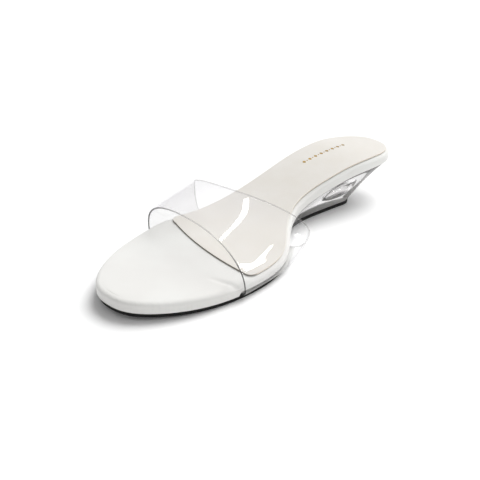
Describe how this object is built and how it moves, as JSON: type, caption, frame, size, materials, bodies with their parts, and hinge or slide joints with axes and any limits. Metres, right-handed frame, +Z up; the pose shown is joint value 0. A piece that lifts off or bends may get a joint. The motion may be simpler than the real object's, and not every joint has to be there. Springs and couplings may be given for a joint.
{
  "type": "slip-on wedge mule",
  "caption": "Right slip-on mule with an open toe and back, one broad clear strap, a padded footbed and a low clear wedge heel on a thin black sole.",
  "frame": {"origin": "centre of the bounding box, at the bottom of the outsole", "axes": "+Y from toe to heel, +X towards the medial side of this right shoe, +Z up"},
  "size_m": [0.0958, 0.2482, 0.0367],
  "materials": {
    "black_rubber": "matt black moulded rubber",
    "clear_moulded_vinyl": "polished clear moulding",
    "off_white_leather": "smooth off-white wrapping with a soft sheen",
    "beige_suede": "fine warm off-white suede, with foil marks at the heel",
    "clear_sheet_vinyl": "glossy clear sheet with darker cut edges"
  },
  "bodies": {
    "root": {"outsole": "black_rubber", "wedge_heel": "clear_moulded_vinyl", "footbed": "off_white_leather", "sock_liner": "beige_suede", "strap": "clear_sheet_vinyl"}
  },
  "joints": []
}
